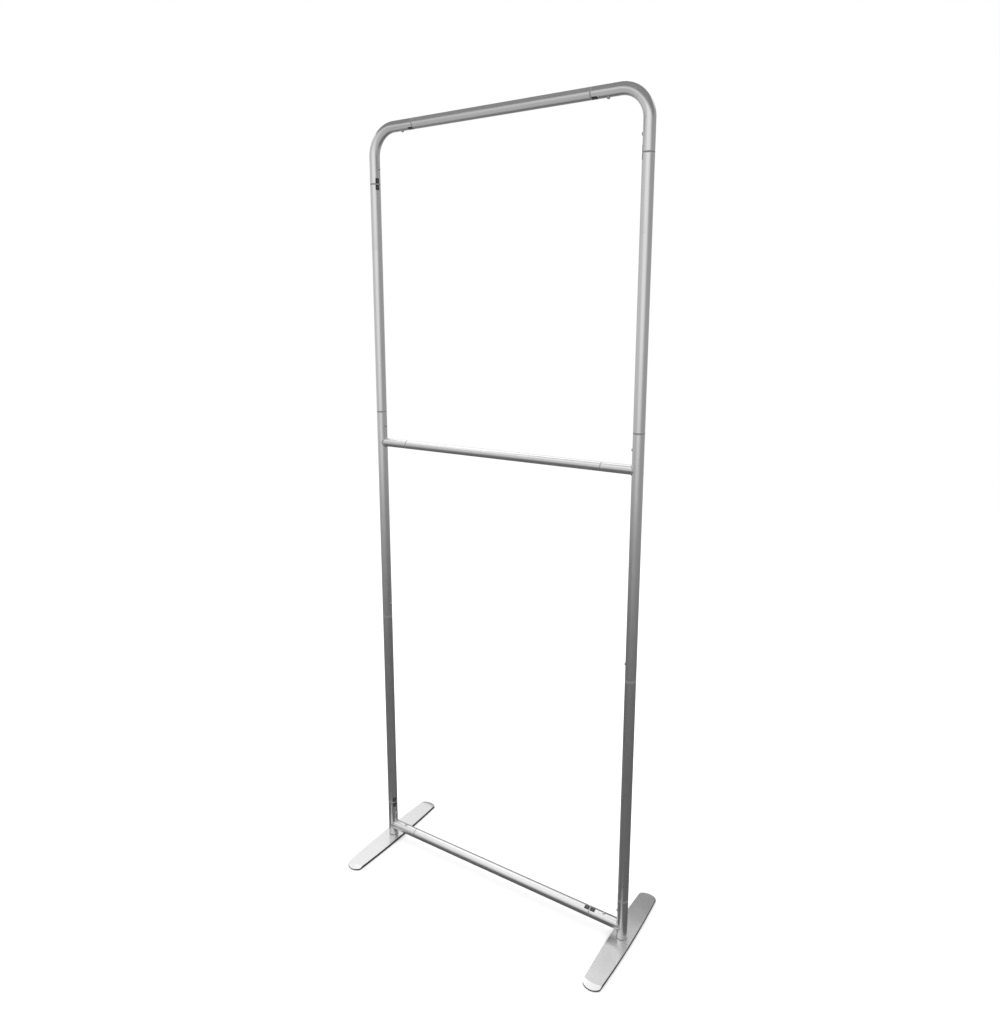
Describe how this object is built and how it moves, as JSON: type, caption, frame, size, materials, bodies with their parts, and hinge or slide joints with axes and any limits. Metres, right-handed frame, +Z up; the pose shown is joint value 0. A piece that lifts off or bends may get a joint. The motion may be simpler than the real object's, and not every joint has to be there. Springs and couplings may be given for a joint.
{
  "type": "fabric backdrop stand",
  "caption": "Free-standing knock-down frame of silver tube with rounded top corners, cross bars, snap-button joints and flat plate feet, for a stretch fabric backdrop.",
  "frame": {"origin": "on the floor, midway between the two feet, in the plane of the tubes", "axes": "+X along the width to the right as seen from the front, +Y from front to back, +Z up"},
  "size_m": [0.912, 0.41, 2.286],
  "materials": {
    "tube_silver": "satin silver",
    "spigot_aluminium": "mill",
    "button_steel": "plated",
    "spring_steel": "plain",
    "foot_silver": "silver powder coat on steel",
    "pad_rubber": "matt",
    "bolt_steel": "zinc plated",
    "plug_steel": "plain"
  },
  "bodies": {
    "frame": {"top_tube": "tube_silver", "mid_bar": "tube_silver", "bottom_bar": "tube_silver", "base_spigots": "spigot_aluminium", "lower_spigots": "spigot_aluminium", "upper_spigots": "spigot_aluminium", "shoulder_spigots": "spigot_aluminium", "top_spigots": "spigot_aluminium", "mid_bar_spigots": "spigot_aluminium", "bottom_bar_spigots": "spigot_aluminium", "foot_bolt_left": "bolt_steel", "post_plug_left": "plug_steel", "base_post_left": "tube_silver", "lower_upright_left": "tube_silver", "middle_upright_left": "tube_silver", "upper_upright_left": "tube_silver", "corner_left": "tube_silver", "mid_stub_left": "tube_silver", "bottom_stub_left": "tube_silver", "base_spring_left": "spring_steel", "lower_spring_left": "spring_steel", "upper_spring_left": "spring_steel", "shoulder_spring_left": "spring_steel", "top_spring_left": "spring_steel", "mid_bar_spring_left": "spring_steel", "bottom_bar_spring_left": "spring_steel", "foot_bolt_right": "bolt_steel", "post_plug_right": "plug_steel", "base_post_right": "tube_silver", "lower_upright_right": "tube_silver", "middle_upright_right": "tube_silver", "upper_upright_right": "tube_silver", "corner_right": "tube_silver", "mid_stub_right": "tube_silver", "bottom_stub_right": "tube_silver", "base_spring_right": "spring_steel", "lower_spring_right": "spring_steel", "upper_spring_right": "spring_steel", "shoulder_spring_right": "spring_steel", "top_spring_right": "spring_steel", "mid_bar_spring_right": "spring_steel", "bottom_bar_spring_right": "spring_steel"},
    "foot_left": {"foot_plate_left": "foot_silver", "foot_pads_left": "pad_rubber"},
    "base_button_left": {"base_button_left": "button_steel"},
    "lower_button_left": {"lower_button_left": "button_steel"},
    "upper_button_left": {"upper_button_left": "button_steel"},
    "shoulder_button_left": {"shoulder_button_left": "button_steel"},
    "top_button_left": {"top_button_left": "button_steel"},
    "mid_bar_button_left": {"mid_bar_button_left": "button_steel"},
    "bottom_bar_button_left": {"bottom_bar_button_left": "button_steel"},
    "foot_right": {"foot_plate_right": "foot_silver", "foot_pads_right": "pad_rubber"},
    "base_button_right": {"base_button_right": "button_steel"},
    "lower_button_right": {"lower_button_right": "button_steel"},
    "upper_button_right": {"upper_button_right": "button_steel"},
    "shoulder_button_right": {"shoulder_button_right": "button_steel"},
    "top_button_right": {"top_button_right": "button_steel"},
    "mid_bar_button_right": {"mid_bar_button_right": "button_steel"},
    "bottom_bar_button_right": {"bottom_bar_button_right": "button_steel"}
  },
  "joints": [
    {"name": "foot_swivel_left", "type": "hinge", "parent": "frame", "child": "foot_left", "pos_m": [-0.425, 0, 0.0055], "axis": [0, 0, 1], "range_deg": [-90, 90]},
    {"name": "base_press_left", "type": "slide", "parent": "frame", "child": "base_button_left", "axis": [-1, 0, 0], "range_m": [0, 0.0053], "stiffness_N_per_m": 2000, "deforming": ["base_spring_left"]},
    {"name": "lower_press_left", "type": "slide", "parent": "frame", "child": "lower_button_left", "axis": [-1, 0, 0], "range_m": [0, 0.0053], "stiffness_N_per_m": 2000, "deforming": ["lower_spring_left"]},
    {"name": "upper_press_left", "type": "slide", "parent": "frame", "child": "upper_button_left", "axis": [-1, 0, 0], "range_m": [0, 0.0053], "stiffness_N_per_m": 2000, "deforming": ["upper_spring_left"]},
    {"name": "shoulder_press_left", "type": "slide", "parent": "frame", "child": "shoulder_button_left", "axis": [-1, 0, 0], "range_m": [0, 0.0053], "stiffness_N_per_m": 2000, "deforming": ["shoulder_spring_left"]},
    {"name": "top_press_left", "type": "slide", "parent": "frame", "child": "top_button_left", "axis": [0, 0, 1], "range_m": [0, 0.0053], "stiffness_N_per_m": 2000, "deforming": ["top_spring_left"]},
    {"name": "mid_bar_press_left", "type": "slide", "parent": "frame", "child": "mid_bar_button_left", "axis": [0, -1, 0], "range_m": [0, 0.0053], "stiffness_N_per_m": 2000, "deforming": ["mid_bar_spring_left"]},
    {"name": "bottom_bar_press_left", "type": "slide", "parent": "frame", "child": "bottom_bar_button_left", "axis": [0, 0, -1], "range_m": [0, 0.0053], "stiffness_N_per_m": 2000, "deforming": ["bottom_bar_spring_left"]},
    {"name": "foot_swivel_right", "type": "hinge", "parent": "frame", "child": "foot_right", "pos_m": [0.425, 0, 0.0055], "axis": [0, 0, 1], "range_deg": [-90, 90]},
    {"name": "base_press_right", "type": "slide", "parent": "frame", "child": "base_button_right", "axis": [1, 0, 0], "range_m": [0, 0.0053], "stiffness_N_per_m": 2000, "deforming": ["base_spring_right"]},
    {"name": "lower_press_right", "type": "slide", "parent": "frame", "child": "lower_button_right", "axis": [1, 0, 0], "range_m": [0, 0.0053], "stiffness_N_per_m": 2000, "deforming": ["lower_spring_right"]},
    {"name": "upper_press_right", "type": "slide", "parent": "frame", "child": "upper_button_right", "axis": [1, 0, 0], "range_m": [0, 0.0053], "stiffness_N_per_m": 2000, "deforming": ["upper_spring_right"]},
    {"name": "shoulder_press_right", "type": "slide", "parent": "frame", "child": "shoulder_button_right", "axis": [1, 0, 0], "range_m": [0, 0.0053], "stiffness_N_per_m": 2000, "deforming": ["shoulder_spring_right"]},
    {"name": "top_press_right", "type": "slide", "parent": "frame", "child": "top_button_right", "axis": [0, 0, 1], "range_m": [0, 0.0053], "stiffness_N_per_m": 2000, "deforming": ["top_spring_right"]},
    {"name": "mid_bar_press_right", "type": "slide", "parent": "frame", "child": "mid_bar_button_right", "axis": [0, -1, 0], "range_m": [0, 0.0053], "stiffness_N_per_m": 2000, "deforming": ["mid_bar_spring_right"]},
    {"name": "bottom_bar_press_right", "type": "slide", "parent": "frame", "child": "bottom_bar_button_right", "axis": [0, 0, -1], "range_m": [0, 0.0053], "stiffness_N_per_m": 2000, "deforming": ["bottom_bar_spring_right"]}
  ]
}
